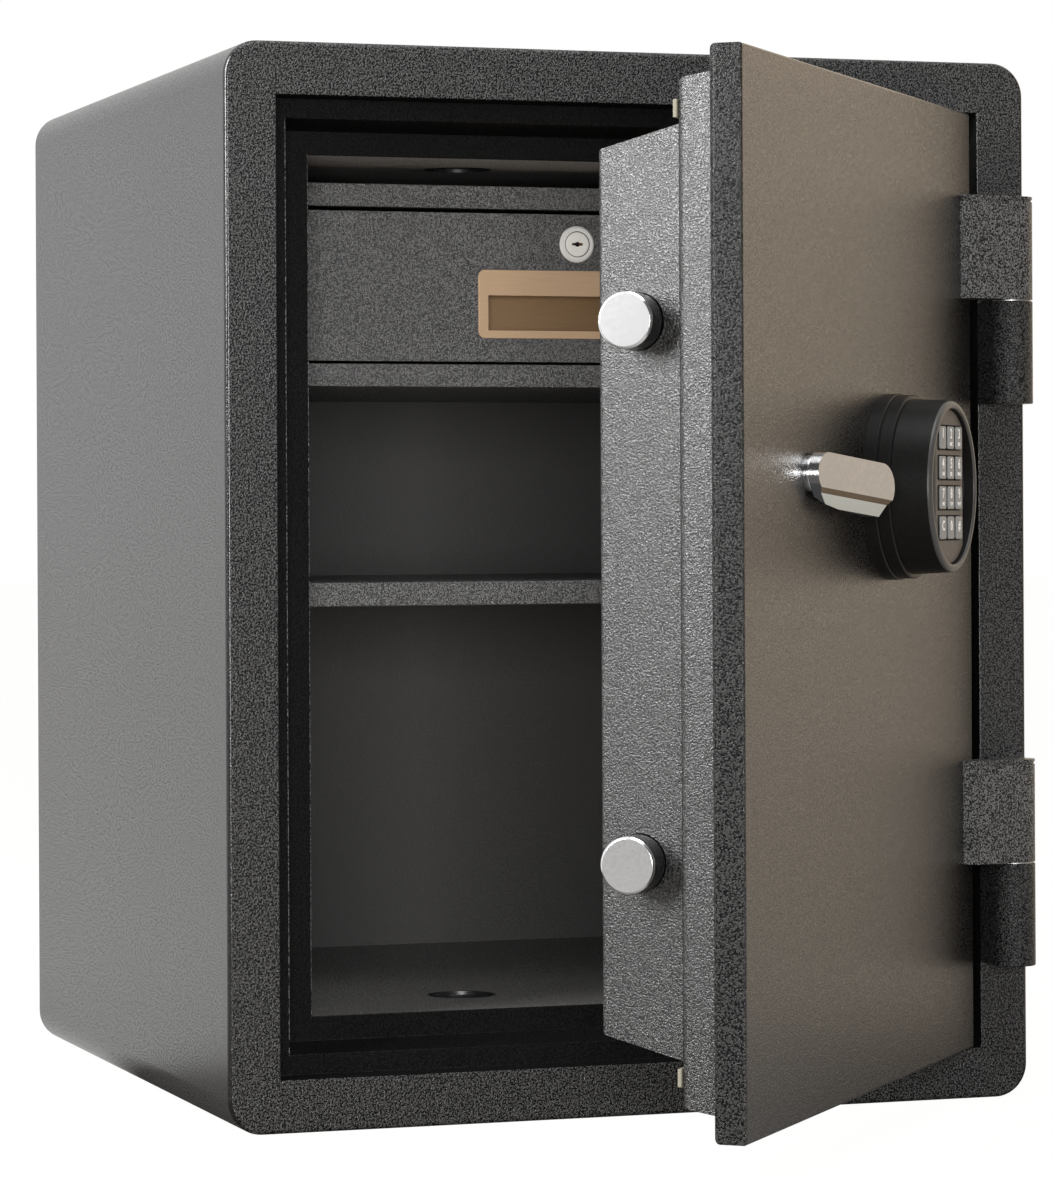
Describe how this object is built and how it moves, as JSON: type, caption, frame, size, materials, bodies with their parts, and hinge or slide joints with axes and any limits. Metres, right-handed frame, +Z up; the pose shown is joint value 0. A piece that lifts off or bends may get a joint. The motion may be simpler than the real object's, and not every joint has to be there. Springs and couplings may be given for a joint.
{
  "type": "security safe",
  "caption": "Free-standing fire and security safe with an electronic keypad, a lever handle, live bolts, a shelf and an inner key-locked drawer, its door half open.",
  "frame": {"origin": "middle of the underside of the body, on the surface it stands on", "axes": "+Z up, -Y out of the front of the body, +X to the right of someone facing it"},
  "size_m": [0.4716, 0.8014, 0.59],
  "materials": {
    "casing_paint": "textured powder coat",
    "frame_paint": "textured powder coat",
    "door_paint": "hammered powder coat with a soft sheen",
    "liner_paint": "smooth dark paint",
    "cabinet_paint": "textured powder coat",
    "disc_plastic": "matt",
    "fire_filling": "cast mineral filling",
    "seal_strip": "matt cream strip",
    "bolt_chrome": "polished",
    "lever_nickel": "satin nickel",
    "plain_steel": "zinc plated",
    "pull_bronze": "satin champagne",
    "keypad_plastic": "satin black",
    "panel_plastic": "matt brown grey",
    "key_rubber": "translucent grey with white figures"
  },
  "bodies": {
    "safe_body": {"outer_casing": "casing_paint", "back_panel": "casing_paint", "front_frame": "frame_paint", "body_insulation": "fire_filling", "liner_left": "liner_paint", "liner_right": "liner_paint", "liner_floor": "liner_paint", "liner_ceiling": "liner_paint", "liner_back": "liner_paint", "bolt_pockets": "plain_steel", "liner_discs": "disc_plastic", "shelf": "cabinet_paint", "shelf_supports": "liner_paint", "cabinet_top": "cabinet_paint", "cabinet_bottom": "cabinet_paint", "cabinet_sides": "cabinet_paint", "cabinet_back": "cabinet_paint", "cabinet_cleats": "liner_paint", "drawer_runners": "plain_steel", "hinge_body_knuckles": "frame_paint", "hinge_pins": "plain_steel", "hinge_washers": "plain_steel"},
    "door": {"door_skin": "door_paint", "door_step": "door_paint", "door_seal": "seal_strip", "door_plug": "door_paint", "door_insulation": "fire_filling", "hinge_door_knuckles": "frame_paint", "lever_collar": "bolt_chrome", "keypad_base": "keypad_plastic", "keypad_housing": "keypad_plastic", "keypad_panel": "panel_plastic", "bolt_guides": "plain_steel", "lock_case": "plain_steel"},
    "lever_handle": {"lever": "lever_nickel", "handle_spindle": "plain_steel", "bolt_cam": "plain_steel"},
    "bolt_work": {"bolt_bar": "plain_steel", "live_bolts": "bolt_chrome"},
    "electronic_lock_bolt": {"lock_bolt": "plain_steel"},
    "drawer": {"drawer_front": "cabinet_paint", "drawer_tray": "cabinet_paint", "drawer_slides": "plain_steel", "drawer_pull": "pull_bronze", "drawer_lock_body": "bolt_chrome"},
    "drawer_lock": {"drawer_lock_plug": "bolt_chrome", "drawer_lock_cam": "plain_steel"},
    "key_1_button": {"key_1": "key_rubber"},
    "key_2_button": {"key_2": "key_rubber"},
    "key_3_button": {"key_3": "key_rubber"},
    "key_4_button": {"key_4": "key_rubber"},
    "key_5_button": {"key_5": "key_rubber"},
    "key_6_button": {"key_6": "key_rubber"},
    "key_7_button": {"key_7": "key_rubber"},
    "key_8_button": {"key_8": "key_rubber"},
    "key_9_button": {"key_9": "key_rubber"},
    "key_clear_button": {"key_clear": "key_rubber"},
    "key_0_button": {"key_0": "key_rubber"},
    "key_hash_button": {"key_hash": "key_rubber"}
  },
  "joints": [
    {"name": "door_swing", "type": "hinge", "parent": "safe_body", "child": "door", "pos_m": [0.2184, -0.25555, 0.295], "axis": [0, 0, 1], "range_deg": [-50, 120]},
    {"name": "lever_turn", "type": "hinge", "parent": "door", "child": "lever_handle", "pos_m": [-0.00005, -0.48462, 0.3535], "axis": [-0.766, 0.6428, 0], "range_deg": [0, 60]},
    {"name": "bolt_slide", "type": "slide", "parent": "door", "child": "bolt_work", "axis": [0.6428, 0.766, 0], "range_m": [0, 0.02]},
    {"name": "lock_bolt_throw", "type": "slide", "parent": "door", "child": "electronic_lock_bolt", "axis": [0, 0, -1], "range_m": [-0.01, 0]},
    {"name": "drawer_slide", "type": "slide", "parent": "safe_body", "child": "drawer", "axis": [0, -1, 0], "range_m": [0, 0.085]},
    {"name": "drawer_lock_turn", "type": "hinge", "parent": "drawer", "child": "drawer_lock", "pos_m": [0, -0.13545, 0.48925], "axis": [0, 1, 0], "range_deg": [-90, 0]},
    {"name": "key_1_press", "type": "slide", "parent": "door", "child": "key_1_button", "axis": [-0.766, 0.6428, 0], "range_m": [0, 0.0015], "stiffness_N_per_m": 500},
    {"name": "key_2_press", "type": "slide", "parent": "door", "child": "key_2_button", "axis": [-0.766, 0.6428, 0], "range_m": [0, 0.0015], "stiffness_N_per_m": 500},
    {"name": "key_3_press", "type": "slide", "parent": "door", "child": "key_3_button", "axis": [-0.766, 0.6428, 0], "range_m": [0, 0.0015], "stiffness_N_per_m": 500},
    {"name": "key_4_press", "type": "slide", "parent": "door", "child": "key_4_button", "axis": [-0.766, 0.6428, 0], "range_m": [0, 0.0015], "stiffness_N_per_m": 500},
    {"name": "key_5_press", "type": "slide", "parent": "door", "child": "key_5_button", "axis": [-0.766, 0.6428, 0], "range_m": [0, 0.0015], "stiffness_N_per_m": 500},
    {"name": "key_6_press", "type": "slide", "parent": "door", "child": "key_6_button", "axis": [-0.766, 0.6428, 0], "range_m": [0, 0.0015], "stiffness_N_per_m": 500},
    {"name": "key_7_press", "type": "slide", "parent": "door", "child": "key_7_button", "axis": [-0.766, 0.6428, 0], "range_m": [0, 0.0015], "stiffness_N_per_m": 500},
    {"name": "key_8_press", "type": "slide", "parent": "door", "child": "key_8_button", "axis": [-0.766, 0.6428, 0], "range_m": [0, 0.0015], "stiffness_N_per_m": 500},
    {"name": "key_9_press", "type": "slide", "parent": "door", "child": "key_9_button", "axis": [-0.766, 0.6428, 0], "range_m": [0, 0.0015], "stiffness_N_per_m": 500},
    {"name": "key_clear_press", "type": "slide", "parent": "door", "child": "key_clear_button", "axis": [-0.766, 0.6428, 0], "range_m": [0, 0.0015], "stiffness_N_per_m": 500},
    {"name": "key_0_press", "type": "slide", "parent": "door", "child": "key_0_button", "axis": [-0.766, 0.6428, 0], "range_m": [0, 0.0015], "stiffness_N_per_m": 500},
    {"name": "key_hash_press", "type": "slide", "parent": "door", "child": "key_hash_button", "axis": [-0.766, 0.6428, 0], "range_m": [0, 0.0015], "stiffness_N_per_m": 500}
  ],
  "couplings": [
    {"joint": "bolt_slide", "follows": "lever_turn", "m_per_rad": 0.019099}
  ]
}
